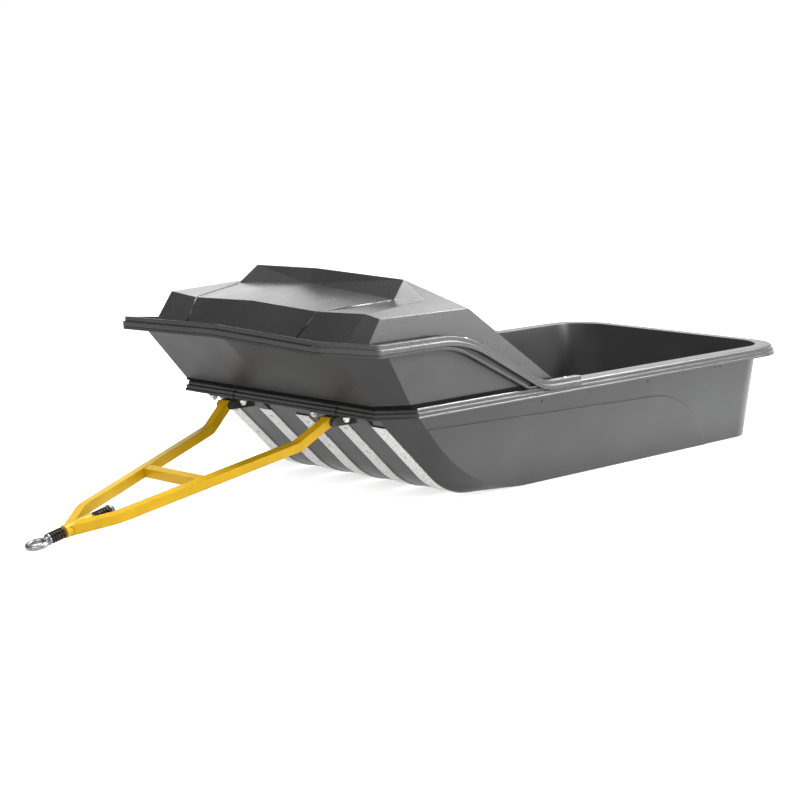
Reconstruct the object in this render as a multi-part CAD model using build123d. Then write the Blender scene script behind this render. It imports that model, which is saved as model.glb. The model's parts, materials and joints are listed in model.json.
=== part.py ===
from build123d import *
from math import cos, hypot, radians, sin, tan
import os

import numpy as np

# Snow sled: a moulded load tub with a splash guard, a faceted hood, five runners and a sprung tow bar.
# Millimetres. +X is the sled's left, +Y is rearward from the tub's front lip, +Z is up from the ground.

# Tub
TUB_WIDTH = 900.0
TUB_LENGTH = 1871.0
RIM_HEIGHT = 297.0
TUB_WALL = 5.0
WALL_DRAFT = 5.0
LIP_OVERHANG = 50.0
LIP_DROP = 30.5
LIP_CREST = 14.0
LIP_STEP = 9.0
LIP_BEAD = 6.0
LIP_BEAD_STEP = 3.0
LIP_ROUND = 7.0
LIP_CHAMFER_X = 71.0
LIP_CHAMFER_Y = 98.0
LIP_REAR_RADIUS = 150.0
BODY_REAR_RADIUS = 120.0
REAR_CUT = 42.0
PANEL_STEP = 3.0
PANEL_FRONT_DROP = 72.0
PANEL_REAR_DROP = 113.0
PANEL_REAR_Y = 1530.0
PANEL_RADIUS = 330.0

# Bow, and the outline at the body's full width that the corner facets run out to
BOW_ANGLE = 42.0
BOW_TOP_Y = 24.0
BOW_RADIUS = 250.0
CORNER_WIDTH = 47.0
CORNER_ANGLE = 48.0
CORNER_TOP_Y = 126.0
CORNER_RADIUS = 750.0

# Runners
RUNNER_COUNT = 5
RUNNER_MARGIN = 4.0
RUNNER_WIDTH = 50.0
RUNNER_THICKNESS = 3.0
RUNNER_TOP = 70.0
RUNNER_REAR_GAP = 110.0

# Splash guard, with its corners at the foot and at a height near the hood's rim
GUARD_WALL = 4.0
GUARD_INSET = 11.0
GUARD_FRONT_INSET = 3.0
GUARD_FOOT = 5.0
GUARD_FOOT_INSET = 12.0
GUARD_FOOT_FRONT_X = 374.0
GUARD_FOOT_SIDE_Y = 79.0
GUARD_HEIGHT = 160.0
GUARD_FLARE = 144.0
GUARD_KEEL = 34.0
GUARD_TOP_FRONT_X = 378.0
GUARD_TOP_SIDE_Y = -17.0
GUARD_REAR_Y = 606.0
GUARD_LIP = 9.0
GUARD_LIP_REAR_Y = 588.0
GUARD_LIP_INSET = 1.0
GUARD_LIP_TOP_Y = 240.0
GUARD_LIP_RADIUS = 300.0
GUARD_LIP_FOOT = 6.0
GUARD_LIP_FOOT_Y = 553.0

# Hood
HOOD_WALL = 4.0
HOOD_SEAT_GAP = 0.3
HOOD_SIDE_INSET = 40.0
HOOD_RIM_KEEL_Y = -230.0
HOOD_RIM_KEEL_RISE = 34.0
HOOD_RIM_FRONT_X = 388.0
HOOD_RIM_FRONT_Y = -226.0
HOOD_RIM_FRONT_RISE = 22.0
HOOD_RIM_FRONT_ROUND = 30.0
HOOD_RIM_SIDE_Y = -51.0
HOOD_RIM_SIDE_ROUND = 60.0
HOOD_RIM_DROP = 26.0
HOOD_RIM_CREST = 13.0
HOOD_RIM_STEP = 6.0
HOOD_RIM_CREST_WIDTH = 20.0
HOOD_GUTTER = 10.0
HOOD_REAR_Y = 787.0
SWEEP_HEIGHT = 182.0
SWEEP_TOP_Y = 285.0
SWEEP_TOP_RADIUS = 400.0
SWEEP_FOOT_Y = 622.0
SWEEP_FOOT = 12.0
SWEEP_FOOT_RADIUS = 200.0

# Corners of the hood's left half: x from the centre line, y from the tub's front lip, z above the tub's rim
HOOD_CORNERS = {
    "keel_foot": (0.0, -184.0, 150.0),
    "bulge_foot": (205.0, -165.0, 150.0),
    "shoulder_foot": (378.0, -128.0, 150.0),
    "corner_foot": (410.0, -73.0, 150.0),
    "keel_brow": (0.0, -85.0, 267.0),
    "bulge_brow": (242.0, -73.0, 256.0),
    "shoulder_brow": (385.0, -40.0, 259.0),
    "corner_brow": (410.0, -10.0, 245.0),
    "shield_foot": (0.0, 127.0, 297.0),
    "bonnet_end": (308.0, 150.0, 274.0),
    "shield_end": (365.0, 210.0, 272.0),
    "crest": (0.0, 160.0, 337.0),
    "crest_end": (291.0, 206.0, 323.0),
    "side_rear": (410.0, 336.0, 243.0),
    "tail": (410.0, 703.0, 8.0),
}

# Tow bar
TUBE = 26.0
PIVOT_X = 204.0
PIVOT_Y = -2.0
PIVOT_DROP = 52.0
PIN_RADIUS = 6.0
PIN_CLEARANCE = 0.05
PIN_HEAD_RADIUS = 8.0
PIN_HEAD = 3.0
EAR_THICKNESS = 5.0
EAR_GAP = 7.0
BUSH_GAP = 1.0
EAR_RADIUS = 11.5
BRACKET_WIDTH = 156.0
BRACKET_HEIGHT = 44.0
BRACKET_THICKNESS = 5.0
BRACKET_TOP_DROP = 34.0
ARM_BEND_RADIUS = 60.0
ARM_KNEE = (179.0, -88.0, -110.0)
ARM_TIP_BEND = (70.0, -620.0, -236.0)
CROSS_BAR_Y = -370.0

# Draw gear on the rod's axis
ROD_RADIUS = 8.0
ROD_CLEARANCE = 0.08
ROD_ANGLE = 12.0
SLEEVE_RADIUS = 17.0
SLEEVE_LENGTH = 89.0
SLEEVE_FRONT_Y = -737.0
COIL_PITCH = 9.8
COIL_RADIUS = 15.5
COIL_GROOVE = 3.0
COIL_BORE = 8.6
FRONT_COILS = 5
REAR_COILS = 6
WASHER_RADIUS = 17.0
WASHER = 3.0
NUT_FLATS = 24.0
NUT_HEIGHT = 9.0
ROD_TAIL = 3.0
EYE_RING_RADIUS = 24.0
EYE_BAR_RADIUS = 7.5
EYE_BAR_SIDES = 10
EYE_BOSS_RADIUS = 15.0
EYE_BOSS = 14.0
EYE_HOLE_RADIUS = 17.5

HALF_WIDTH = TUB_WIDTH / 2
BODY_HALF = HALF_WIDTH - LIP_OVERHANG
BODY_REAR_Y = TUB_LENGTH - LIP_OVERHANG
BOW_SLOPE = tan(radians(BOW_ANGLE))
DRAFT = tan(radians(WALL_DRAFT))
BOW_FLAT_HALF = BODY_HALF - RIM_HEIGHT * DRAFT - CORNER_WIDTH
RUNNER_PITCH = (2 * BOW_FLAT_HALF - 2 * RUNNER_MARGIN - RUNNER_WIDTH) / (RUNNER_COUNT - 1)
FLOOR_Z = RUNNER_THICKNESS
SKIRT_Z = RIM_HEIGHT - LIP_DROP
PIVOT_Z = RIM_HEIGHT - PIVOT_DROP
FAR = 3 * TUB_LENGTH

# Bands of the tub's lip: inset from its widest line, drop of the band's top below the rim
LIP_BANDS = [(LIP_STEP, 0.0), (LIP_BEAD_STEP, LIP_CREST), (0.0, LIP_DROP - LIP_BEAD)]


def face_of(points):
    """Flat face through a closed run of points."""
    return Face(Wire(Polyline(*points, close=True).edges()))


def rounded(face, corner, radius):
    """The face with the outline's corner nearest to a point rounded."""
    vertex = face.vertices().sort_by_distance(corner)[0]
    return Face(face.outer_wire().fillet_2d(radius, [vertex]))


def across(face):
    """Prism to both sides of a face in the middle plane, wider than the sled."""
    return extrude(face, TUB_WIDTH, dir=(1, 0, 0), both=True)


def mirrored(shape):
    """The same shape on the sled's other side."""
    return mirror(shape, about=Plane.YZ)


def cut_behind(shape, y):
    """The part of a shape ahead of y."""
    return shape - Pos(0, y + FAR, 0) * Box(FAR, 2 * FAR, 4 * FAR)


# Tub
def lip_plan(inset, z):
    """Plan of the lip: chamfered front corners and round rear corners."""
    run = hypot(LIP_CHAMFER_X, LIP_CHAMFER_Y)
    side = HALF_WIDTH - inset
    rear = TUB_LENGTH - inset
    front_x = HALF_WIDTH - LIP_CHAMFER_X + inset * (LIP_CHAMFER_X - run) / LIP_CHAMFER_Y
    side_y = LIP_CHAMFER_Y + inset * (run - LIP_CHAMFER_Y) / LIP_CHAMFER_X
    half = [(front_x, inset), (side, side_y), (side, rear)]
    plan = make_face(Polyline(*half, *[(-x, y) for x, y in reversed(half)], close=True))
    corners = plan.vertices().group_by(Axis.Y)[-1]
    return Pos(0, 0, z) * fillet(corners, LIP_REAR_RADIUS - inset)


def lip_block(inset, low, high):
    return extrude(lip_plan(inset, low), high - low)


def make_lip():
    """Turned-down lip with a rounded crest, a stepped skirt and a bead along its lower edge."""
    lip = Part()
    hollow = Part()
    for inset, drop in LIP_BANDS:
        lip += lip_block(inset, SKIRT_Z, RIM_HEIGHT - drop)
        hollow += lip_block(inset + TUB_WALL, SKIRT_Z, RIM_HEIGHT - drop - TUB_WALL)
    crest = lip.faces().sort_by(Axis.Z)[-1]
    return fillet(crest.edges(), LIP_ROUND) - hollow


def side_outline(x, inset, angle, rim_y, radius):
    """Side outline inside a bow of one slope and its round on to the floor, as an upright face at x."""
    slope = tan(radians(angle))
    floor = FLOOR_Z + inset
    top = 2 * RIM_HEIGHT
    top_y = rim_y - (top - RIM_HEIGHT) / slope + inset / sin(radians(angle))
    foot_y = top_y + (top - floor) / slope
    outline = face_of([(x, top_y, top), (x, foot_y, floor), (x, FAR, floor), (x, FAR, top)])
    return rounded(outline, (x, foot_y, floor), radius - inset)


def body_hull(inset):
    """Bow and floor, with a facet along each side that runs out to the corner outline."""
    bow = (inset, BOW_ANGLE, BOW_TOP_Y, BOW_RADIUS - RUNNER_THICKNESS)
    corner = (inset, CORNER_ANGLE, CORNER_TOP_Y, CORNER_RADIUS)
    hull = extrude(side_outline(0, *bow), BOW_FLAT_HALF, dir=(1, 0, 0), both=True)
    ends = [side_outline(BOW_FLAT_HALF, *bow), side_outline(BODY_HALF + TUB_WALL, *corner)]
    facet = loft(ends, ruled=True)
    return hull + facet + mirrored(facet)


def body_walls(inset):
    """Drafted side and rear walls with round rear corners."""
    plans = []
    for z in (0, 2 * RIM_HEIGHT):
        shrink = inset / cos(radians(WALL_DRAFT)) + (RIM_HEIGHT - z) * DRAFT
        side = BODY_HALF - shrink
        rear = BODY_REAR_Y - shrink
        plan = make_face(Polyline((-side, -FAR), (side, -FAR), (side, rear), (-side, rear), close=True))
        corners = plan.vertices().group_by(Axis.Y)[-1]
        plans.append(Pos(0, 0, z) * fillet(corners, BODY_REAR_RADIUS - inset))
    return loft(plans, ruled=True)


def rear_cut(inset):
    """Block below the slanting cut along the rear wall's foot."""
    rear = BODY_REAR_Y - RIM_HEIGHT * DRAFT
    floor = FLOOR_Z + inset * 2 ** 0.5
    start = (0, rear - 2 * REAR_CUT, floor - REAR_CUT)
    end = (0, rear + REAR_CUT, floor + 2 * REAR_CUT)
    return across(face_of([start, end, (0, end[1], -FAR), (0, start[1], -FAR)]))


def body_solid(inset, top):
    """Tub's body inside its walls, up to the height top."""
    body = body_walls(inset) & body_hull(inset)
    body -= rear_cut(inset)
    return body - Pos(0, 0, top + FAR / 2) * Box(FAR, 3 * FAR, FAR)


def side_panels():
    """Raised panels on the body's sides, round at their rear end."""
    corner = (0, PANEL_REAR_Y, RIM_HEIGHT - PANEL_REAR_DROP)
    front = (0, 0, RIM_HEIGHT - PANEL_FRONT_DROP)
    outline = rounded(face_of([front, corner, (0, PANEL_REAR_Y, -FAR), (0, 0, -FAR)]), corner, PANEL_RADIUS)
    skin = body_walls(-PANEL_STEP) & across(outline)
    return skin & body_hull(0)


def make_tub():
    body = body_solid(0, RIM_HEIGHT - TUB_WALL) + side_panels()
    return make_lip() + body - body_solid(TUB_WALL, RIM_HEIGHT + TUB_WALL)


# Runners
def runner_path(depth):
    """Points and arc of a runner's face, depth inside its outer face."""
    radius = BOW_RADIUS - depth
    foot_y = BOW_TOP_Y + (RIM_HEIGHT - FLOOR_Z) / BOW_SLOPE
    normal = Vector(0, -sin(radians(BOW_ANGLE)), -cos(radians(BOW_ANGLE)))
    along = Vector(0, -cos(radians(BOW_ANGLE)), sin(radians(BOW_ANGLE)))
    centre_y = foot_y + (BOW_RADIUS - RUNNER_THICKNESS) * tan(radians(BOW_ANGLE / 2))
    centre = Vector(0, centre_y, BOW_RADIUS)
    start = centre + normal * radius
    end = centre + Vector(0, 0, -radius)
    middle = centre + Vector(0, -sin(radians(BOW_ANGLE / 2)), -cos(radians(BOW_ANGLE / 2))) * radius
    climb = (RIM_HEIGHT - RUNNER_TOP - start.Z) / along.Z
    rear = Vector(0, BODY_REAR_Y - RUNNER_REAR_GAP, end.Z)
    return start + along * climb, start, middle, end, rear


def make_runner(x):
    tip, start, middle, end, rear = runner_path(0)
    tip_in, start_in, middle_in, end_in, rear_in = runner_path(RUNNER_THICKNESS)
    outline = [
        Line(tip, start), ThreePointArc(start, middle, end), Line(end, rear), Line(rear, rear_in),
        Line(rear_in, end_in), ThreePointArc(end_in, middle_in, start_in),
        Line(start_in, tip_in), Line(tip_in, tip),
    ]
    strip = extrude(Face(Wire(outline)), RUNNER_WIDTH / 2, dir=(1, 0, 0), both=True)
    return Pos(x, 0, 0) * strip


# Splash guard
def rim_slopes():
    """Rise of the hood rim's front planes per mm across and along, from their three corners."""
    rows = [
        (HOOD_RIM_FRONT_X - HALF_WIDTH, HOOD_RIM_FRONT_Y - HOOD_RIM_SIDE_Y),
        (-HALF_WIDTH, HOOD_RIM_KEEL_Y - HOOD_RIM_SIDE_Y),
    ]
    return np.linalg.solve(rows, [HOOD_RIM_FRONT_RISE, HOOD_RIM_KEEL_RISE])


def front_block(level):
    """Block below the two planes that rise from a level towards the nose, one on each side."""
    across_slope, along_slope = (float(slope) for slope in rim_slopes())
    corners = []
    for x in (0, TUB_WIDTH):
        fold_y = HOOD_RIM_SIDE_Y - across_slope * (x - HALF_WIDTH) / along_slope
        nose_y = fold_y + 2 * HOOD_RIM_KEEL_Y
        nose_z = level + along_slope * (nose_y - fold_y)
        corners += [(x, fold_y, RIM_HEIGHT + level), (x, nose_y, RIM_HEIGHT + nose_z)]
    plane = face_of([corners[0], corners[1], corners[3], corners[2]])
    block = extrude(plane, FAR, dir=(0, 0, -1))
    return block + mirrored(block)


def block_under(line, rounds):
    """Block below a line of (y, z) points above the tub's rim, with rounds, raised at the front."""
    points = [(0, y, RIM_HEIGHT + z) for y, z in line]
    face = face_of([*points, (0, line[-1][0], -FAR), (0, line[0][0], -FAR)])
    for index, radius in rounds:
        face = rounded(face, points[index], radius)
    return across(face) + front_block(line[0][1])


def under_sweep(drop):
    """Block below the hood's rim line: level on the sides, then sweeping down to the tub."""
    line = [
        (-TUB_WIDTH, SWEEP_HEIGHT - drop), (SWEEP_TOP_Y, SWEEP_HEIGHT - drop),
        (SWEEP_FOOT_Y, SWEEP_FOOT - drop), (FAR, SWEEP_FOOT - drop),
    ]
    return block_under(line, [(1, SWEEP_TOP_RADIUS), (2, SWEEP_FOOT_RADIUS)])


def under_guard_lip(drop):
    """Block below the guard's lip line, which lies under the hood's rim and sweeps down ahead of it."""
    level = SWEEP_HEIGHT - HOOD_RIM_DROP - HOOD_SEAT_GAP - drop
    line = [
        (-TUB_WIDTH, level), (GUARD_LIP_TOP_Y, level),
        (GUARD_LIP_FOOT_Y, GUARD_LIP_FOOT - drop), (FAR, GUARD_LIP_FOOT - drop),
    ]
    return block_under(line, [(1, GUARD_LIP_RADIUS)])


def both_halves(half, z):
    """Closed outline at a height from the left half's points."""
    full = [(x, y, z) for x, y in half] + [(-x, y, z) for x, y in reversed(half) if x > 0]
    return face_of(full)


def guard_foot(inset):
    """Left half of the guard's plan at its foot."""
    front = GUARD_FRONT_INSET + inset
    side = HALF_WIDTH - GUARD_INSET - inset
    front_x = GUARD_FOOT_FRONT_X - inset / 2
    return [(0, front), (front_x, front), (side, GUARD_FOOT_SIDE_Y + inset / 2), (side, FAR)]


def guard_solid(inset):
    """Solid inside the guard's walls, from its foot up past the hood's rim."""
    low = guard_foot(inset)
    side = HALF_WIDTH - GUARD_INSET - inset
    top_y = GUARD_FRONT_INSET - GUARD_FLARE + inset
    at_rim = [
        (0, top_y - GUARD_KEEL), (GUARD_TOP_FRONT_X - inset / 2, top_y),
        (side, GUARD_TOP_SIDE_Y + inset / 2), (side, FAR),
    ]
    rise = 2 * GUARD_HEIGHT / (GUARD_HEIGHT - GUARD_FOOT)
    top = [(a + (c - a) * rise, b + (d - b) * rise) for (a, b), (c, d) in zip(low, at_rim)]
    low_z = RIM_HEIGHT + GUARD_FOOT
    return loft([both_halves(low, low_z), both_halves(top, low_z + 2 * GUARD_HEIGHT)], ruled=True)


def plan_ring(outer, inner, low, high):
    """Upright ring between two plans."""
    ring = both_halves(outer, RIM_HEIGHT + low) - both_halves(inner, RIM_HEIGHT + low)
    return extrude(ring, high - low)


def make_guard():
    """Flared guard on a recessed foot, with a turned-down lip along its top."""
    lip_top = under_guard_lip(0)
    wall = guard_solid(0) - guard_solid(GUARD_WALL)
    inner = guard_foot(GUARD_FOOT_INSET + GUARD_WALL)
    wall += plan_ring(guard_foot(0), inner, GUARD_FOOT, GUARD_FOOT + GUARD_WALL)
    wall += plan_ring(guard_foot(GUARD_FOOT_INSET), inner, 0, GUARD_FOOT + GUARD_WALL)
    flange = rim_column(GUARD_LIP_INSET) & lip_top
    flange -= under_guard_lip(GUARD_LIP)
    flange -= rim_column(GUARD_LIP_INSET + GUARD_WALL) & under_guard_lip(GUARD_WALL)
    flange -= guard_solid(GUARD_WALL / 2)
    flange &= under_sweep(HOOD_RIM_DROP + HOOD_SEAT_GAP)
    flange -= extrude(both_halves(guard_foot(GUARD_WALL / 2), 0), RIM_HEIGHT + 2 * GUARD_FOOT)
    flange -= Pos(0, 0, RIM_HEIGHT + HOOD_SEAT_GAP - FAR / 2) * Box(FAR, FAR, FAR)
    reach = under_sweep(HOOD_RIM_CREST + HOOD_WALL + HOOD_SEAT_GAP)
    wall &= reach
    wall &= lip_top + (reach - cut_behind(reach, GUARD_FOOT_SIDE_Y))
    return cut_behind(wall, GUARD_REAR_Y) + cut_behind(flange, GUARD_LIP_REAR_Y)


# Hood
HOOD_FACES = [
    ("keel_foot", "bulge_foot", "bulge_brow", "keel_brow"),
    ("bulge_foot", "shoulder_foot", "shoulder_brow", "bulge_brow"),
    ("shoulder_foot", "corner_foot", "corner_brow", "shoulder_brow"),
    ("bulge_brow", "bonnet_end", "shield_foot", "keel_brow"),
    ("bulge_brow", "shoulder_brow", "shield_end", "bonnet_end"),
    ("shoulder_brow", "corner_brow", "side_rear", "shield_end"),
    ("shield_foot", "bonnet_end", "crest_end", "crest"),
    ("bonnet_end", "shield_end", "crest_end"),
    ("shield_end", "side_rear", "crest_end"),
    ("corner_foot", "corner_base", "tail_base", "tail", "side_rear", "corner_brow"),
    ("keel_base", "bulge_base", "bulge_foot", "keel_foot"),
    ("bulge_base", "shoulder_base", "shoulder_foot", "bulge_foot"),
    ("shoulder_base", "corner_base", "corner_foot", "shoulder_foot"),
]
HOOD_OPENINGS = [
    ("rear_base", "crest", "crest_end", "side_rear", "tail", "tail_base"),
    ("rear_base", "tail_base", "corner_base", "shoulder_base", "bulge_base", "keel_base"),
]


def hood_points():
    """All corners of the hood's left half, with its walls run down to the base."""
    points = dict(HOOD_CORNERS)
    side = HALF_WIDTH - HOOD_SIDE_INSET
    for name in ("corner_foot", "corner_brow", "side_rear", "tail"):
        points[name] = (side, *points[name][1:])
    rear_y = points["tail"][1] + LIP_OVERHANG
    for name in ("keel", "bulge", "shoulder", "corner"):
        x, y, _ = points[f"{name}_foot"]
        points[f"{name}_base"] = (x, y, -LIP_DROP)
    points.update(tail_base=(side, rear_y, -LIP_DROP), rear_base=(0, rear_y, -LIP_DROP))
    return points


def triangles(names):
    return [(names[0], names[i], names[i + 1]) for i in range(1, len(names) - 1)]


def moved_in(points, wall):
    """The same corners with every wall moved in, and the openings moved out."""
    planes = {name: [] for name in points}
    for faces, depth in ((HOOD_FACES, wall), (HOOD_OPENINGS, -3 * wall)):
        for tri in [t for face in faces for t in triangles(face)]:
            a, b, c = (np.array(points[name], float) for name in tri)
            normal = np.cross(b - a, c - a)
            normal /= np.linalg.norm(normal)
            for name in tri:
                planes[name].append((normal, depth))
                if points[name][0] == 0:
                    planes[name].append((normal * (-1, 1, 1), depth))
    result = {}
    for name, rows in planes.items():
        normals = np.array([normal for normal, _ in rows])
        depths = np.array([depth for _, depth in rows])
        step = np.linalg.lstsq(normals, -depths, rcond=0.05)[0]
        result[name] = tuple(np.array(points[name], float) + step)
    return result


def hood_solid(points):
    """Closed faceted solid from the left half's corners and their mirror images."""
    faces = []
    for tri in [t for face in HOOD_FACES + HOOD_OPENINGS for t in triangles(face)]:
        corners = [(x, y, z + RIM_HEIGHT) for x, y, z in (points[name] for name in tri)]
        faces.append(face_of(corners))
        faces.append(face_of([(-x, y, z) for x, y, z in reversed(corners)]))
    return Solid(Shell(faces))


def rim_column(inset):
    """Upright column inside the hood's rim plan, cut off at the rim's rear end."""
    half = [
        (0, HOOD_RIM_KEEL_Y), (HOOD_RIM_FRONT_X, HOOD_RIM_FRONT_Y),
        (HALF_WIDTH, HOOD_RIM_SIDE_Y), (HALF_WIDTH, FAR),
    ]
    plan = both_halves(half, 0)
    if inset:
        plan = offset(plan, -inset, kind=Kind.INTERSECTION).face()
    for (x, y), radius in zip(half[1:3], (HOOD_RIM_FRONT_ROUND, HOOD_RIM_SIDE_ROUND)):
        for place in ((x, y, 0), (-x, y, 0)):
            plan = rounded(plan, place, radius - inset)
    return cut_behind(extrude(plan, 2 * RIM_HEIGHT), HOOD_REAR_Y)


def make_rim(inside):
    """Stepped rim round the hood: a skirt, a raised crest and a gutter that runs in to the hood's walls."""
    crest_inner = HOOD_RIM_STEP + HOOD_RIM_CREST_WIDTH
    rim = rim_column(0) & under_sweep(HOOD_RIM_CREST)
    rim += rim_column(HOOD_RIM_STEP) & under_sweep(0)
    rim -= rim_column(crest_inner) - under_sweep(HOOD_GUTTER)
    rim -= under_sweep(HOOD_RIM_DROP)
    rim -= rim_column(HOOD_WALL) & under_sweep(HOOD_RIM_CREST + HOOD_WALL)
    crest_hollow = rim_column(HOOD_RIM_STEP + HOOD_WALL) - rim_column(crest_inner - HOOD_WALL)
    rim -= crest_hollow & under_sweep(HOOD_WALL)
    rim -= inside
    side = HALF_WIDTH - HOOD_SIDE_INSET - HOOD_WALL / 2
    rim -= Pos(0, FAR / 2, 0) * Box(2 * side, FAR, FAR)
    for inset, drop in LIP_BANDS:
        rim -= lip_block(inset - HOOD_SEAT_GAP, 0, RIM_HEIGHT - drop)
    return rim


def make_hood():
    points = hood_points()
    inside = hood_solid(moved_in(points, HOOD_WALL))
    shell = hood_solid(points) - inside
    shell -= under_sweep(HOOD_GUTTER + HOOD_WALL / 2)
    return shell + make_rim(inside)


# Tow bar
def bow_plane(x, drop):
    """Frame on the bow: X across the sled, Y up the bow, Z outward."""
    y = BOW_TOP_Y + drop / BOW_SLOPE
    outward = (0, -sin(radians(BOW_ANGLE)), -cos(radians(BOW_ANGLE)))
    return Plane(origin=(x, y, RIM_HEIGHT - drop), x_dir=(1, 0, 0), z_dir=outward)


def make_bracket(x):
    seat = bow_plane(x, BRACKET_TOP_DROP + BRACKET_HEIGHT / 2 * sin(radians(BOW_ANGLE)))
    bracket = seat * extrude(Rectangle(BRACKET_WIDTH, BRACKET_HEIGHT), BRACKET_THICKNESS)
    reach = [(seat.origin + seat.y_dir * s * BRACKET_HEIGHT / 2) for s in (1, -1)]
    reach.sort(key=lambda p: -p.Z)
    outline = face_of([
        (0, PIVOT_Y, PIVOT_Z + EAR_RADIUS), (0, reach[0].Y, reach[0].Z),
        (0, reach[1].Y, reach[1].Z), (0, PIVOT_Y, PIVOT_Z - EAR_RADIUS),
    ])
    eye = Pos(0, PIVOT_Y, PIVOT_Z) * Rot(0, 90, 0) * Cylinder(EAR_RADIUS, EAR_THICKNESS)
    ear = extrude(outline, EAR_THICKNESS / 2, dir=(1, 0, 0), both=True) + eye
    for side in (-1, 1):
        bracket += Pos(x + side * (TUBE / 2 + EAR_GAP + EAR_THICKNESS / 2), 0, 0) * ear
    bracket -= Pos(x, PIVOT_Y, PIVOT_Z) * Rot(0, 90, 0) * Cylinder(PIN_RADIUS, 2 * TUBE)
    return bracket - body_solid(0, RIM_HEIGHT)


def make_pin(x):
    """Pin with a head at its outer end and a flush inner end."""
    grip = TUBE + 2 * EAR_GAP + 2 * EAR_THICKNESS
    head = Pos(0, 0, (grip + PIN_HEAD) / 2) * Cylinder(PIN_HEAD_RADIUS, PIN_HEAD)
    pin = Cylinder(PIN_RADIUS, grip) + head
    return Pos(x, PIVOT_Y, PIVOT_Z) * Rot(0, 90 if x > 0 else -90, 0) * pin


def ring_centre():
    """Place of the eye's ring along the rod's axis."""
    return -FRONT_COILS * COIL_PITCH - EYE_BOSS - EYE_RING_RADIUS


def rod_point(along):
    """Point on the rod's axis, counted back from the sleeve's front end, with the eye on the ground."""
    lift = radians(ROD_ANGLE)
    eye_reach = EYE_BAR_RADIUS + (EYE_RING_RADIUS - ring_centre()) * sin(lift)
    return Vector(0, SLEEVE_FRONT_Y + along * cos(lift), eye_reach + along * sin(lift))


def rod_plane(along):
    """Frame on the rod's axis: Z points to the rear along it, X across the sled."""
    lift = radians(ROD_ANGLE)
    return Plane(origin=rod_point(along), x_dir=(1, 0, 0), z_dir=(0, cos(lift), sin(lift)))


def rod_cylinder(radius, start, end):
    return rod_plane(start) * extrude(Circle(radius), end - start)


def make_arm():
    pivot = (PIVOT_X, PIVOT_Y, PIVOT_Z)
    knee = (ARM_KNEE[0], ARM_KNEE[1], RIM_HEIGHT + ARM_KNEE[2])
    bend = (ARM_TIP_BEND[0], ARM_TIP_BEND[1], RIM_HEIGHT + ARM_TIP_BEND[2])
    tip = tuple(rod_point(SLEEVE_RADIUS))
    path = FilletPolyline(pivot, knee, bend, tip, radius=ARM_BEND_RADIUS)
    section = Plane(origin=pivot, x_dir=(1, 0, 0), z_dir=path % 0) * Rectangle(TUBE, TUBE)
    arm = sweep(section, path=path)
    arm += Pos(*pivot) * Rot(0, 90, 0) * Cylinder(TUBE / 2, TUBE + 2 * (EAR_GAP - BUSH_GAP))
    arm -= Pos(*pivot) * Rot(0, 90, 0) * Cylinder(PIN_RADIUS + PIN_CLEARANCE, 2 * TUBE)
    arm -= rod_cylinder(SLEEVE_RADIUS, -SLEEVE_LENGTH, 2 * SLEEVE_LENGTH)
    arm &= Pos(FAR / 2, 0, 0) * Box(FAR, 4 * FAR, 4 * FAR)
    return arm.solids().sort_by(SortBy.VOLUME)[-1]


def make_cross_bar(arms):
    """Square tube between the arms, turned to lie in their plane."""
    share = (CROSS_BAR_Y - ARM_KNEE[1]) / (ARM_TIP_BEND[1] - ARM_KNEE[1])
    knee = Vector(*ARM_KNEE)
    bend = Vector(*ARM_TIP_BEND)
    end = knee + (bend - knee) * share
    normal = (0, knee.Z - bend.Z, bend.Y - knee.Y)
    frame = Plane(origin=(0, end.Y, RIM_HEIGHT + end.Z), x_dir=(1, 0, 0), z_dir=normal)
    bar = frame * Box(2 * end.X, TUBE, TUBE)
    for arm in arms:
        bar -= arm
    return bar.solids().sort_by(SortBy.VOLUME)[-1]


def make_spring(start, coils):
    """Close coils round the rod as one ridged sleeve, from the seat at start towards the rear."""
    edge = [(COIL_BORE, 0), (COIL_RADIUS - COIL_GROOVE, 0)]
    for i in range(coils):
        edge += [(COIL_RADIUS, (i + 0.5) * COIL_PITCH), (COIL_RADIUS - COIL_GROOVE, (i + 1) * COIL_PITCH)]
    edge += [(COIL_BORE, coils * COIL_PITCH)]
    profile = face_of([(r, 0, s) for r, s in edge])
    return rod_plane(start) * revolve(profile, axis=Axis.Z)


def make_eye(face):
    """Forged eye: a boss that butts on the front spring and a ring flat with the rod."""
    boss = rod_cylinder(EYE_BOSS_RADIUS, face - EYE_BOSS, face)
    section = Pos(EYE_RING_RADIUS, 0, 0) * Rot(90, 0, 0) * RegularPolygon(EYE_BAR_RADIUS, EYE_BAR_SIDES)
    ring = revolve(section, axis=Axis.Z)
    centre = rod_plane(ring_centre()) * Rot(90, 0, 0)
    return boss + centre * ring - centre * Cylinder(EYE_HOLE_RADIUS, 4 * EYE_BAR_RADIUS)


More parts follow.
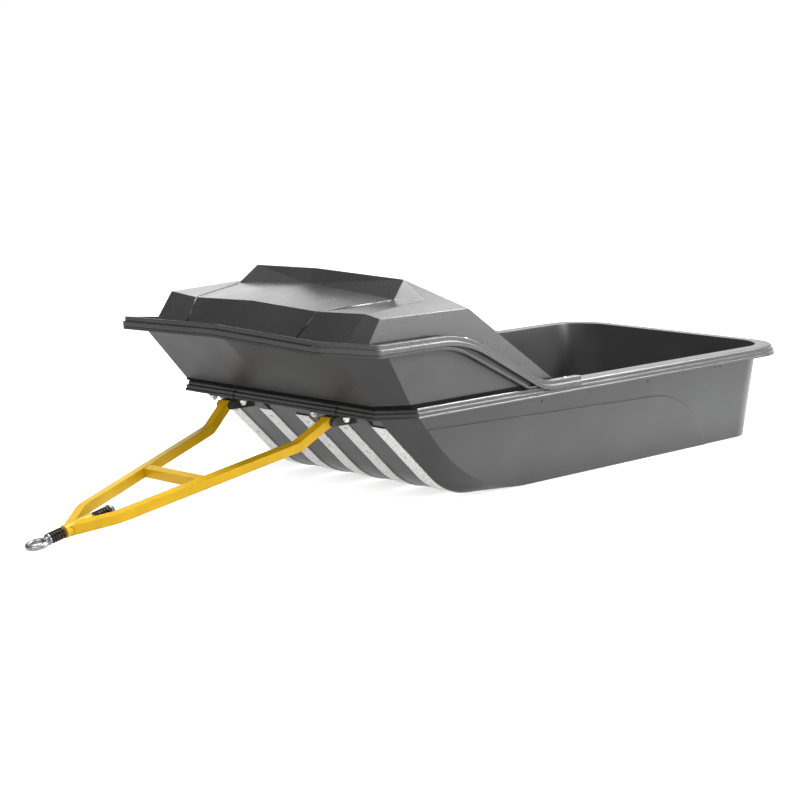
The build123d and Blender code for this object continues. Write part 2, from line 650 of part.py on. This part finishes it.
def make_all():
    nodes = {"tub": make_tub(), "splash_guard": make_guard(), "hood": make_hood()}
    for i in range(RUNNER_COUNT):
        nodes[f"runner_{i + 1}"] = make_runner((i - (RUNNER_COUNT - 1) / 2) * RUNNER_PITCH)
    for side, sign in (("left", 1), ("right", -1)):
        nodes[f"bracket_{side}"] = make_bracket(sign * PIVOT_X)
        nodes[f"pivot_pin_{side}"] = make_pin(sign * PIVOT_X)
    arm = make_arm()
    nodes["tow_arm_left"] = arm
    nodes["tow_arm_right"] = mirrored(arm)
    nodes["cross_bar"] = make_cross_bar([arm, mirrored(arm)])
    bore = rod_cylinder(ROD_RADIUS + ROD_CLEARANCE, 0, SLEEVE_LENGTH)
    nodes["tip_sleeve"] = rod_cylinder(SLEEVE_RADIUS, 0, SLEEVE_LENGTH) - bore
    eye_face = -FRONT_COILS * COIL_PITCH
    washer_face = SLEEVE_LENGTH + REAR_COILS * COIL_PITCH
    nodes["front_spring"] = make_spring(eye_face, FRONT_COILS)
    nodes["rear_spring"] = make_spring(SLEEVE_LENGTH, REAR_COILS)
    nut_face = washer_face + WASHER
    washer = rod_cylinder(WASHER_RADIUS, washer_face, nut_face)
    nodes["rear_washer"] = washer - rod_cylinder(ROD_RADIUS, 0, nut_face)
    nut = rod_plane(nut_face) * extrude(RegularPolygon(NUT_FLATS / 2, 6, major_radius=False), NUT_HEIGHT)
    nodes["rod_nut"] = nut - rod_cylinder(ROD_RADIUS, 0, nut_face + NUT_HEIGHT)
    nodes["draw_rod"] = rod_cylinder(ROD_RADIUS, eye_face, nut_face + NUT_HEIGHT + ROD_TAIL)
    nodes["draw_eye"] = make_eye(eye_face)
    return nodes


def front_end():
    """Foremost point of the draw eye."""
    return rod_point(ring_centre() - EYE_RING_RADIUS).Y - EYE_BAR_RADIUS


os.makedirs("parts", exist_ok=True)
CENTRE_Y = (front_end() + TUB_LENGTH) / 2
for name, shape in make_all().items():
    export_step(Pos(0, -CENTRE_Y, 0) * shape, f"parts/{name}.step")
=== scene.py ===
"""The looks of the snow sled: finishes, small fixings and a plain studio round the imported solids."""
import json
import math

import bmesh
import bpy
from mathutils import Matrix, Vector


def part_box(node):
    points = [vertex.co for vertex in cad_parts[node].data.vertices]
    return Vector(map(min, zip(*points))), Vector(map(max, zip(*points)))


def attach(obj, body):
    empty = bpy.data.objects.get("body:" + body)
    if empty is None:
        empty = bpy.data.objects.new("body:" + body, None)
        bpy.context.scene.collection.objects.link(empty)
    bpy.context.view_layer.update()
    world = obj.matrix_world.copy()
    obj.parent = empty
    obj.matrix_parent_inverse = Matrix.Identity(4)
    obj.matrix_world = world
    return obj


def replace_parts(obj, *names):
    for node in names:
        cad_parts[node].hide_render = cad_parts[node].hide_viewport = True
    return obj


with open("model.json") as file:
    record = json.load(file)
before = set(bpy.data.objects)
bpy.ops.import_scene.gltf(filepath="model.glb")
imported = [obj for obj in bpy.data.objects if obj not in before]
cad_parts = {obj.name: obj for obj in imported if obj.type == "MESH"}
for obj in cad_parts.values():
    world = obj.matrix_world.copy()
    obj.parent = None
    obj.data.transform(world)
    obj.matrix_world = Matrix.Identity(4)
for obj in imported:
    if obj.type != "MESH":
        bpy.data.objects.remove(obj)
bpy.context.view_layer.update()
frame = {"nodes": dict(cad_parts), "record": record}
NODES = frame["nodes"]
RECORD = frame["record"]
MM = 0.001

# Places that the details share, in metres
TUB_LOW, TUB_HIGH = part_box("tub")
FRONT_Y = TUB_LOW.y
RIM_Z = TUB_HIGH.z
JOINTS = {joint["name"]: joint for joint in RECORD["behaviour"]["joints"]}
ROD_AT = Vector(JOINTS["draw_eye_swivel"]["pos_m"])
ROD_AXIS = Vector(JOINTS["draw_eye_swivel"]["axis"])
ALONG_Y = Vector((0, 1, 0))
UP = Vector((0, 0, 1))
DOWN = Vector((0, 0, -1))


def at(x, y, z):
    """Point from millimetres: x across, y behind the tub's front lip, z above the tub's rim."""
    return Vector((x * MM, FRONT_Y + y * MM, RIM_Z + z * MM))


# Camera
CAMERA_AT = at(4276.5, -4006.6, 948.0)
CAMERA_TO = at(92.9, 400.0, -53.3)
SENSOR = 36.0
LENS = 96.75

# Hood's shading: weld in metres, degrees of fold that look curved, and lean of front faces that stay crisp
WELD = 0.00002
FOLD = 16.0
FRONT_LEAN = 0.4

# Turned fixings: rows of height and radius
WASHER = [(0.0, 8.6), (0.9, 9.0), (1.6, 8.4), (1.6, 2.0)]
NUT = [(1.4, 9.6), (1.7, 10.0), (7.6, 10.0), (8.4, 9.0), (8.4, 2.0)]
DOME = [(7.8, 8.2), (11.5, 7.4), (14.2, 5.2), (15.4, 1.5)]
PAN_HEAD = [(0.0, 5.2), (0.8, 5.6), (2.0, 5.0), (2.9, 3.4), (3.2, 1.2)]
RIVET = [(0.0, 3.6), (0.7, 3.9), (1.5, 3.2), (2.0, 1.2)]
HEX_SIDES = 6
RIVET_SIDES = 16
SCREW_SIDES = 20
NUT_SIDES = 24

# Fixings of the tow bar: under the lip a plate with two dome nuts to each arm, and a clip over the lip
ARM_X = 204.0
PLATE_HALF = 80.0
PLATE_TOP = -30.5
PLATE_BOTTOM = -33.0
PLATE_FRONT = 1.0
PLATE_REAR = 58.0
PLATE_CORNER = 7.0
NUT_REACH = 62.0
NUT_Y = 9.5
NUT_WASHER_SCALE = 1.35
CLIP_HALF = 29.0

# Outline of a clip in y and z: up the lip's outer bands, and back down inside them
CLIP = [
    (3.0, -32.6), (-2.2, -32.6), (-2.2, -23.6), (0.8, -22.0), (0.8, -13.2), (6.8, -11.4), (6.8, -6.2),
    (9.4, -1.6), (13.6, 1.4),
    (13.8, 0.1), (11.0, -2.2), (9.2, -6.6), (9.2, -13.8), (3.2, -14.2), (3.2, -24.6), (0.2, -24.8),
    (0.2, -30.8), (3.0, -30.8),
]

# Beads that edge the hood's middle panel, from the rim up and back over the top: x, y, z on the left side
BEAD_PATH = [
    (219.0, -128.4, 188.6),
    (241.0, -73.4, 252.6),
    (256.0, -25.6, 257.8),
    (305.0, 140.4, 271.2),
]
BEAD_RADIUS = 4.5
BEAD_SIDES = 16

# Dark strip along the guard's foot, painted shade for the shadow gap between guard and lip: x, y round the
# lip, and a section as reach outward and height
SHADOW_STRIP_PATH = [(-439.0, 545.0), (-439.0, 79.0), (-374.0, 3.0), (374.0, 3.0), (439.0, 79.0), (439.0, 545.0)]
SHADOW_STRIP_SECTION = [(-4.0, 0.4), (0.6, 0.4), (3.4, 10.5), (-4.0, 10.5)]

# Screws that hold the hood's rim: x, y, z on the left side, and their way up
RIM_SCREWS = [
    ((395.0, -95.0, 178.7), (0.0, -0.1, 1.0)),
    ((323.0, -128.0, 184.5), (0.0, -0.1, 1.0)),
    ((152.0, -150.0, 192.0), (0.0, -0.1, 1.0)),
    ((434.0, 300.0, 166.6), (0.0, 0.28, 1.0)),
    ((434.0, 725.0, 12.0), (0.0, 0.0, 1.0)),
]
RIM_WASHER_SCALE = 0.65
RIM_HEAD_SCALE = 0.75
RIM_HEAD_LIFT = 1.0

# Rivets of the tie-downs under the lip: y, z on the tub's side, which drafts inward below the rim
SIDE_X = 400.0
SIDE_DRAFT = math.tan(math.radians(5))
TIE_RIVETS = [(1520.0, -48.0), (1547.0, -48.0), (1172.6, -52.8), (892.0, -53.7), (672.0, -55.6)]

# Screws of the runners on the bow, by their drop below the rim
RUNNER_COUNT = 5
RUNNER_THICKNESS = 3.0
BOW_TOP_Y = 24.0
BOW_ANGLE = math.radians(42)
BOW_OUT = Vector((0, -math.sin(BOW_ANGLE), -math.cos(BOW_ANGLE)))
SCREW_DROPS = [92.0, 168.0]
RUNNER_SCREW_SCALE = 1.3

# Wound springs on the draw rod: node, start along the rod and number of coils
SPRINGS = [("front_spring", -49.0, 5), ("rear_spring", 89.0, 6)]
COIL_RADIUS = 15.5
COIL_PITCH = 9.8
COIL_STEPS = 28
WIRE_RADIUS = 3.5
WIRE_SIDES = 10

# Forged eye on the rod's front end: places along the rod, and a neck as rows of height and radius
EYE_FACE = -49.0
EYE_CENTRE = -87.0
EYE_RADIUS = 24.3
EYE_BAR = 6.8
EYE_STEPS = 64
EYE_SIDES = 20
EYE_NECK = [
    (0.0, 14.2), (-0.8, 15.0), (-5.0, 15.0), (-6.0, 14.0),
    (-6.5, 11.5), (-11.0, 9.5), (-18.0, 8.0), (-18.5, 2.0),
]
NECK_SIDES = 36

# Studio, in metres: a glowing pale floor, soft boxes and white surroundings
FLOOR_REACH = 40.0
FLOOR_Z = -0.5 * MM
FLOOR_COLOUR = (0.38, 0.38, 0.38, 1)
FLOOR_ROUGHNESS = 0.9
FLOOR_GLOW = 0.8
WHITE = (1, 1, 1, 1)
GAMMA = 0.86

# Soft boxes: name, place, target, width and height, power in watts
LIGHTS = [
    ("rear_box", (2.3, 3.8, 3.3), (0.0, 0.2, 0.4), (2.0, 1.6), 560),
    ("deck_box", (0.2, 3.6, 3.6), (0.0, 0.0, 0.3), (3.2, 1.4), 80),
    ("side_box", (4.6, 3.2, 0.95), (0.3, 0.3, 0.2), (3.0, 1.6), 180),
    ("far_box", (-4.2, 4.2, 2.3), (0.0, -0.5, 0.5), (5.0, 1.6), 38),
    ("top_box", (0.0, 0.4, 3.6), (0.0, 0.4, 0.0), (2.0, 1.6), 210),
    ("front_box", (0.4, -4.4, 3.6), (0.0, -1.0, 0.2), (2.4, 1.6), 170),
]

# Dimming of the surroundings: the way it leans, the lean where it starts and ends, and the levels there
OVERHEAD = (UP, (0.2, 0.75), (1.05, 0.45))
AHEAD_RIGHT = ((-0.6, -0.75, 0.28), (0.2, 0.75), (1.0, 0.22))

# Finishes: colours at both ends of a mottle, and the noise levels that they lie at
MOTTLE_LOW = 0.3
MOTTLE_HIGH = 0.7
BEVEL_SAMPLES = 6
PLASTIC = ((0.031, 0.031, 0.0315), (0.041, 0.041, 0.042))
YELLOW = ((0.46, 0.287, 0.002), (0.53, 0.332, 0.003))
BLACK_PAINT = ((0.022, 0.022, 0.023), (0.035, 0.035, 0.037))
# Near-black of the strip at the guard's foot: painted shade of the gap under the guard
SHADOW_GAP_BLACK = ((0.003, 0.003, 0.003), (0.007, 0.007, 0.007))
ZINC = ((0.2, 0.205, 0.21), (0.36, 0.365, 0.37))
FRESH_ZINC = ((0.5, 0.5, 0.5), (0.75, 0.75, 0.75))
SPRING = ((0.03, 0.022, 0.02), (0.09, 0.07, 0.06))

# Colours of the runners by noise level: specks, the body and its lightest clouds
RUNNER_STOPS = [(0.33, (0.22, 0.22, 0.22)), (0.42, (0.54, 0.54, 0.53)), (0.7, (0.68, 0.68, 0.67))]


def new_node(tree, kind, values=None):
    """A shader node with some of its inputs set by name."""
    node = tree.nodes.new(kind)
    for socket, value in (values or {}).items():
        node.inputs[socket].default_value = value
    return node


class Finish:
    """A procedural material that is filled in step by step, with lengths in metres."""

    def __init__(self, name):
        self.material = bpy.data.materials.new(name)
        self.material.use_nodes = True
        self.tree = self.material.node_tree
        self.shader = self.tree.nodes["Principled BSDF"]

    def noise(self, scale, detail=4.0, roughness=0.55, stretch=(1, 1, 1)):
        """Noise in the object's own metres, drawn out along the given axes."""
        coords = new_node(self.tree, "ShaderNodeTexCoord")
        mapping = new_node(self.tree, "ShaderNodeMapping", {"Scale": stretch})
        grain = {"Scale": scale, "Detail": detail, "Roughness": roughness}
        texture = new_node(self.tree, "ShaderNodeTexNoise", grain)
        self.tree.links.new(coords.outputs["Object"], mapping.inputs["Vector"])
        self.tree.links.new(mapping.outputs["Vector"], texture.inputs["Vector"])
        return texture.outputs["Fac"]

    def colour(self, value, stops):
        """Base colour by a value: rows of place and colour."""
        ramp = new_node(self.tree, "ShaderNodeValToRGB")
        elements = ramp.color_ramp.elements
        while len(elements) < len(stops):
            elements.new(0.5)
        for element, (place, colour) in zip(elements, stops):
            element.position = place
            element.color = (*colour, 1)
        self.tree.links.new(value, ramp.inputs["Fac"])
        self.tree.links.new(ramp.outputs["Color"], self.shader.inputs["Base Color"])

    def mottle(self, value, dark, light):
        """Base colour that wanders from dark to light."""
        self.colour(value, [(MOTTLE_LOW, dark), (MOTTLE_HIGH, light)])

    def rough(self, value, low, high):
        """Roughness spread from low to high by a value from 0 to 1."""
        spread = new_node(self.tree, "ShaderNodeMapRange", {"To Min": low, "To Max": high})
        self.tree.links.new(value, spread.inputs["Value"])
        self.tree.links.new(spread.outputs["Result"], self.shader.inputs["Roughness"])

    def skin(self, height, strength, depth, edge):
        """Fine relief on top of edges that look rounded to a radius."""
        rounded = new_node(self.tree, "ShaderNodeBevel", {"Radius": edge})
        rounded.samples = BEVEL_SAMPLES
        relief = new_node(self.tree, "ShaderNodeBump", {"Strength": strength, "Distance": depth})
        self.tree.links.new(rounded.outputs["Normal"], relief.inputs["Normal"])
        self.tree.links.new(height, relief.inputs["Height"])
        self.tree.links.new(relief.outputs["Normal"], self.shader.inputs["Normal"])

    def fix(self, socket, value):
        """A value that is the same all over."""
        self.shader.inputs[socket].default_value = value


def black_plastic(name, edge, rough, gloss):
    """Charcoal moulded polyethylene: a fine pebbled skin with faint flow marks and scuffs."""
    finish = Finish(name)
    finish.mottle(finish.noise(scale=5, detail=3), *PLASTIC)
    finish.rough(finish.noise(scale=16, detail=5, roughness=0.6, stretch=(1, 0.2, 1)), *rough)
    finish.fix("Specular IOR Level", gloss)
    finish.skin(finish.noise(scale=420, detail=2), strength=0.05, depth=0.0005, edge=edge)
    return finish.material


def runner_plastic():
    """Pale recycled wear plastic with dark specks."""
    finish = Finish("runner_plastic")
    finish.colour(finish.noise(scale=260, detail=3, roughness=0.6, stretch=(1, 0.6, 0.6)), RUNNER_STOPS)
    finish.rough(finish.noise(scale=40), low=0.35, high=0.6)
    finish.skin(finish.noise(scale=300), strength=0.15, depth=0.0005, edge=0.0012)
    return finish.material


def yellow_paint():
    """Yellow powder coat with a fine orange-peel skin."""
    finish = Finish("yellow_paint")
    finish.mottle(finish.noise(scale=18), *YELLOW)
    finish.rough(finish.noise(scale=60), low=0.3, high=0.46)
    finish.fix("Specular IOR Level", 0.3)
    finish.skin(finish.noise(scale=500, detail=2), strength=0.08, depth=0.0004, edge=0.003)
    return finish.material


def metal(name, colours, rough, stretch=(1, 1, 1)):
    """Plated or bare steel with drawn-out marks."""
    finish = Finish(name)
    marks = finish.noise(scale=180, detail=5, roughness=0.6, stretch=stretch)
    finish.mottle(marks, *colours)
    finish.rough(marks, *rough)
    finish.fix("Metallic", 1.0)
    finish.skin(marks, strength=0.08, depth=0.0003, edge=0.0008)
    return finish.material


def bracket_steel():
    """Black painted steel plate."""
    finish = Finish("bracket_steel")
    finish.mottle(finish.noise(scale=30), *BLACK_PAINT)
    finish.rough(finish.noise(scale=90), low=0.3, high=0.5)
    finish.skin(finish.noise(scale=350), strength=0.12, depth=0.0004, edge=0.0015)
    return finish.material


def shadow_gap_black():
    """Matt near-black with a faint random tone: painted shade for the shadow gap under the guard's foot.
    """
    finish = Finish("shadow_gap_black")
    finish.mottle(finish.noise(scale=40), *SHADOW_GAP_BLACK)
    finish.rough(finish.noise(scale=120), low=0.7, high=0.9)
    finish.fix("Specular IOR Level", 0.12)
    finish.skin(finish.noise(scale=600), strength=0.1, depth=0.0003, edge=0.001)
    return finish.material


# Finishes of the record's material slots
MATERIALS = {
    "black_plastic": black_plastic("black_plastic", edge=0.003, rough=(0.2, 0.34), gloss=0.5),
    "runner_plastic": runner_plastic(),
    "yellow_paint": yellow_paint(),
    "zinc_steel": metal("zinc_steel", ZINC, rough=(0.34, 0.5), stretch=(1, 0.2, 1)),
    "spring_steel": metal("spring_steel", SPRING, rough=(0.3, 0.5)),
    "bracket_steel": bracket_steel(),
}

# The same plastic with the gloss and the rounded creases of each moulding
MOULDINGS = {
    "tub": black_plastic("tub_plastic", edge=0.0035, rough=(0.24, 0.38), gloss=0.4),
    "splash_guard": black_plastic("guard_plastic", edge=0.004, rough=(0.4, 0.52), gloss=0.32),
    "hood": black_plastic("hood_plastic", edge=0.0035, rough=(0.22, 0.34), gloss=0.5),
}

# Fresh plating on the nuts and screws
BRIGHT_ZINC = metal("bright_zinc", FRESH_ZINC, rough=(0.3, 0.45))


def dress_nodes():
    """Each solid gets the finish of its moulding or of its slot."""
    for subpart in RECORD["subparts"]:
        node = subpart["node"]
        materials = NODES[node].data.materials
        materials.clear()
        materials.append(MOULDINGS.get(node, MATERIALS[subpart["material_slot"]]))


def add_piece(name, bm, slot, body, smooth=True, material=None):
    """A named piece from a mesh that moves with a body, in its slot's finish or in one of its own."""
    bmesh.ops.recalc_face_normals(bm, faces=bm.faces)
    for face in bm.faces:
        face.smooth = smooth
    mesh = bpy.data.meshes.new(name)
    bm.to_mesh(mesh)
    bm.free()
    obj = bpy.data.objects.new(name, mesh)
    bpy.context.scene.collection.objects.link(obj)
    mesh.materials.append(material or MATERIALS[slot])
    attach(obj, body)
    return obj


def facing(place, axis):
    """Frame at a place with its Z along an axis."""
    return Matrix.Translation(place) @ axis.to_track_quat("Z", "Y").to_matrix().to_4x4()


ROD_FRAME = facing(ROD_AT, ROD_AXIS)


def heading(path, i):
    """Direction of a path at one of its points."""
    return (path[min(i + 1, len(path) - 1)] - path[max(i - 1, 0)]).normalized()


def ring(bm, spot, sides, height, radius):
    """Loop of points round the Z of a frame, from millimetres."""
    turns = [2 * math.pi * i / sides for i in range(sides)]
    points = [Vector((radius * math.cos(turn), radius * math.sin(turn), height)) for turn in turns]
    return [bm.verts.new(spot @ (point * MM)) for point in points]


def bar_loop(bm, centre, out, across, radius, sides):
    """Loop round a bar in the rod's own frame, from millimetres."""
    loop = []
    for i in range(sides):
        angle = 2 * math.pi * i / sides
        point = centre + (out * math.cos(angle) + across * math.sin(angle)) * radius
        loop.append(bm.verts.new(ROD_FRAME @ (point * MM)))
    return loop


def join(bm, loops, closed=False):
    """Skin over a run of loops that closes on itself, or has both ends capped."""
    following = loops[1:] + loops[:1] if closed else loops[1:]
    for low, high in zip(loops, following):
        for i in range(len(low)):
            k = (i + 1) % len(low)
            bm.faces.new((low[i], low[k], high[k], high[i]))
    if not closed:
        bm.faces.new(list(reversed(loops[0])))
        bm.faces.new(loops[-1])


def stack(bm, place, axis, sides, rows, scale=1.0):
    """Closed turned shape: rows of height along the axis and radius, in millimetres."""
    spot = facing(place, axis)
    join(bm, [ring(bm, spot, sides, height * scale, radius * scale) for height, radius in rows])


def hood_skin():
    """The hood's own solid with its gentle folds shaded as one curve."""
    bm = bmesh.new()
    bm.from_mesh(NODES["hood"].data)
    bmesh.ops.remove_doubles(bm, verts=bm.verts, dist=WELD)
    for edge in bm.edges:
        central = all(abs(vert.co.x) < MM for vert in edge.verts)
        ahead = any(face.normal.y < -FRONT_LEAN for face in edge.link_faces)
        gentle = edge.calc_face_angle(math.pi) < math.radians(FOLD)
        edge.smooth = gentle and (central or not ahead)
    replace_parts(add_piece("hood_skin", bm, "black_plastic", "sled", material=MOULDINGS["hood"]), "hood")


def plate_outline(x):
    """Outline of a plate in x and y with its front corners cut."""
    left, right = x - PLATE_HALF, x + PLATE_HALF
    corner = PLATE_FRONT + PLATE_CORNER
    return [
        (left + PLATE_CORNER, PLATE_FRONT), (right - PLATE_CORNER, PLATE_FRONT), (right, corner),
        (right, PLATE_REAR), (left, PLATE_REAR), (left, corner),
    ]


def lip_plate(side, x):
    """Plate under the lip at an arm's bracket."""
    bm = bmesh.new()
    outline = plate_outline(x)
    join(bm, [[bm.verts.new(at(px, py, z)) for px, py in outline] for z in (PLATE_BOTTOM, PLATE_TOP)])
    add_piece(f"lip_plate_{side}", bm, "bracket_steel", "sled", smooth=False)


def lip_bolts(side, x):
    """Dome nuts on washers under a plate."""
    bm = bmesh.new()
    for reach in (-NUT_REACH, NUT_REACH):
        place = at(x + reach, NUT_Y, PLATE_BOTTOM)
        stack(bm, place, DOWN, NUT_SIDES, WASHER, NUT_WASHER_SCALE)
        stack(bm, place, DOWN, HEX_SIDES, NUT)
        stack(bm, place, DOWN, NUT_SIDES, DOME)
    add_piece(f"lip_bolts_{side}", bm, "zinc_steel", "sled", smooth=False, material=BRIGHT_ZINC)


def lip_clip(side, x):
    """Folded clip over the lip above an arm."""
    bm = bmesh.new()
    join(bm, [[bm.verts.new(at(px, y, z)) for y, z in CLIP] for px in (x - CLIP_HALF, x + CLIP_HALF)])
    add_piece(f"lip_clip_{side}", bm, "bracket_steel", "sled", smooth=False)


def hood_beads():
    """Thin beads along both edges of the hood's middle panel."""
    bm = bmesh.new()
    for sign in (1, -1):
        path = [at(sign * x, y, z) for x, y, z in BEAD_PATH]
        spots = [facing(point, heading(path, i)) for i, point in enumerate(path)]
        join(bm, [ring(bm, spot, BEAD_SIDES, 0.0, BEAD_RADIUS) for spot in spots])
    add_piece("hood_beads", bm, "black_plastic", "sled")


def guard_shadow_strip():
    """Dark strip that leans out along the guard's foot: painted shade for the shadow gap between guard and
    lip.
    """
    bm = bmesh.new()
    path = [Vector(point) for point in SHADOW_STRIP_PATH]
    loops = []
    for i, point in enumerate(path):
        along = heading(path, i)
        out = Vector((along.y, -along.x))
        loops.append([bm.verts.new(at(*(point + out * reach), height)) for reach, height in SHADOW_STRIP_SECTION])
    join(bm, loops)
    add_piece("guard_shadow_strip", bm, "black_plastic", "sled", smooth=False, material=shadow_gap_black())


def rim_screws():
    """Pan head screws on washers along the hood's rim."""
    bm = bmesh.new()
    for (x, y, z), up in RIM_SCREWS:
        axis = Vector(up).normalized()
        for sign in (1, -1):
            place = at(sign * x, y, z)
            stack(bm, place, axis, SCREW_SIDES, WASHER, RIM_WASHER_SCALE)
            stack(bm, place + UP * RIM_HEAD_LIFT * MM, axis, SCREW_SIDES, PAN_HEAD, RIM_HEAD_SCALE)
    add_piece("rim_screws", bm, "zinc_steel", "sled", material=BRIGHT_ZINC)


def tie_rivets():
    """Rivets of the tie-downs along both sides of the tub."""
    bm = bmesh.new()
    for y, z in TIE_RIVETS:
        for sign in (1, -1):
            out = Vector((sign, 0, -SIDE_DRAFT)).normalized()
            stack(bm, at(sign * (SIDE_X + z * SIDE_DRAFT), y, z), out, RIVET_SIDES, RIVET)
    add_piece("tie_rivets", bm, "bracket_steel", "sled")


def runner_screws():
    """Screw heads on the runners where they climb the bow."""
    bm = bmesh.new()
    for i in range(RUNNER_COUNT):
        low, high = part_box(f"runner_{i + 1}")
        middle = (low.x + high.x) / 2 / MM
        for drop in SCREW_DROPS:
            foot = at(middle, BOW_TOP_Y + drop / math.tan(BOW_ANGLE), -drop)
            place = foot + BOW_OUT * RUNNER_THICKNESS * MM
            stack(bm, place, BOW_OUT, RIVET_SIDES, RIVET, RUNNER_SCREW_SCALE)
    add_piece("runner_screws", bm, "runner_plastic", "sled")


def wound_spring(node, start, coils):
    """Round wire wound about the rod from a start along it."""
    bm = bmesh.new()
    climb = coils * COIL_PITCH - 2 * WIRE_RADIUS
    steps = COIL_STEPS * coils
    loops = []
    for k in range(steps + 1):
        turn = 2 * math.pi * coils * k / steps
        out = Vector((math.cos(turn), math.sin(turn), 0))
        centre = out * (COIL_RADIUS - WIRE_RADIUS) + UP * (start + WIRE_RADIUS + climb * k / steps)
        loops.append(bar_loop(bm, centre, out, UP, WIRE_RADIUS, WIRE_SIDES))
    join(bm, loops)
    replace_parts(add_piece(f"{node}_coil", bm, "spring_steel", "tow_bar"), node)


def forged_eye():
    """Ring of round bar on a collared neck."""
    bm = bmesh.new()
    stack(bm, ROD_AT + ROD_AXIS * EYE_FACE * MM, ROD_AXIS, NECK_SIDES, EYE_NECK)
    loops = []
    for k in range(EYE_STEPS):
        turn = 2 * math.pi * k / EYE_STEPS
        out = Vector((math.cos(turn), 0, math.sin(turn)))
        centre = UP * EYE_CENTRE + out * EYE_RADIUS
        loops.append(bar_loop(bm, centre, out, ALONG_Y, EYE_BAR, EYE_SIDES))
    join(bm, loops, closed=True)
    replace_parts(add_piece("forged_eye", bm, "zinc_steel", "draw_eye"), "draw_eye")


def make_floor():
    """Plain pale floor just under the runners."""
    mesh = bpy.data.meshes.new("floor")
    r = FLOOR_REACH
    mesh.from_pydata([(-r, -r, 0), (r, -r, 0), (r, r, 0), (-r, r, 0)], [], [(0, 1, 2, 3)])
    finish = Finish("floor_white")
    finish.fix("Base Color", FLOOR_COLOUR)
    finish.fix("Roughness", FLOOR_ROUGHNESS)
    finish.fix("Emission Color", WHITE)
    finish.fix("Emission Strength", FLOOR_GLOW)
    mesh.materials.append(finish.material)
    floor = bpy.data.objects.new("floor", mesh)
    bpy.context.scene.collection.objects.link(floor)
    floor.location.z = FLOOR_Z


def add_light(name, place, target, size, power):
    """Soft box that points at a target."""
    light = bpy.data.lights.new(name, "AREA")
    light.shape = "RECTANGLE"
    light.size, light.size_y = size
    light.energy = power
    obj = bpy.data.objects.new(name, light)
    bpy.context.scene.collection.objects.link(obj)
    obj.location = place
    obj.rotation_euler = (Vector(target) - Vector(place)).to_track_quat("-Z", "Y").to_euler()


def dimming(tree, coords, way, reach, levels):
    """Level by how far a direction leans a given way."""
    lean = new_node(tree, "ShaderNodeVectorMath")
    lean.operation = "DOT_PRODUCT"
    lean.inputs[1].default_value = way
    limits = {"From Min": reach[0], "From Max": reach[1], "To Min": levels[0], "To Max": levels[1]}
    level = new_node(tree, "ShaderNodeMapRange", limits)
    tree.links.new(coords.outputs["Generated"], lean.inputs[0])
    tree.links.new(lean.outputs["Value"], level.inputs["Value"])
    return level.outputs["Result"]


def make_world():
    """White surroundings that dim overhead and in a quarter ahead on the right."""
    world = bpy.data.worlds.new("studio")
    world.use_nodes = True
    tree = world.node_tree
    coords = new_node(tree, "ShaderNodeTexCoord")
    both = new_node(tree, "ShaderNodeMath")
    both.operation = "MULTIPLY"
    for socket, row in zip(both.inputs, (OVERHEAD, AHEAD_RIGHT)):
        tree.links.new(dimming(tree, coords, *row), socket)
    background = tree.nodes["Background"]
    tree.links.new(both.outputs["Value"], background.inputs["Strength"])
    background.inputs["Color"].default_value = WHITE
    bpy.context.scene.world = world


def add_camera():
    """Camera at the photograph's viewing angle."""
    data = bpy.data.cameras.new("camera")
    data.sensor_width = SENSOR
    data.lens = LENS
    camera = bpy.data.objects.new("camera", data)
    bpy.context.scene.collection.objects.link(camera)
    camera.location = CAMERA_AT
    camera.rotation_euler = (CAMERA_TO - CAMERA_AT).to_track_quat("-Z", "Y").to_euler()
    bpy.context.scene.camera = camera


# The sled
dress_nodes()
hood_skin()
for side, x in (("left", ARM_X), ("right", -ARM_X)):
    lip_plate(side, x)
    lip_bolts(side, x)
    lip_clip(side, x)
hood_beads()
# Dark strip at the guard's foot: painted shade for the gap under the guard
guard_shadow_strip()
rim_screws()
tie_rivets()
runner_screws()
for row in SPRINGS:
    wound_spring(*row)
forged_eye()

# The studio
make_floor()
for row in LIGHTS:
    add_light(*row)
make_world()
add_camera()
bpy.context.scene.view_settings.view_transform = "Standard"
bpy.context.scene.view_settings.gamma = GAMMA
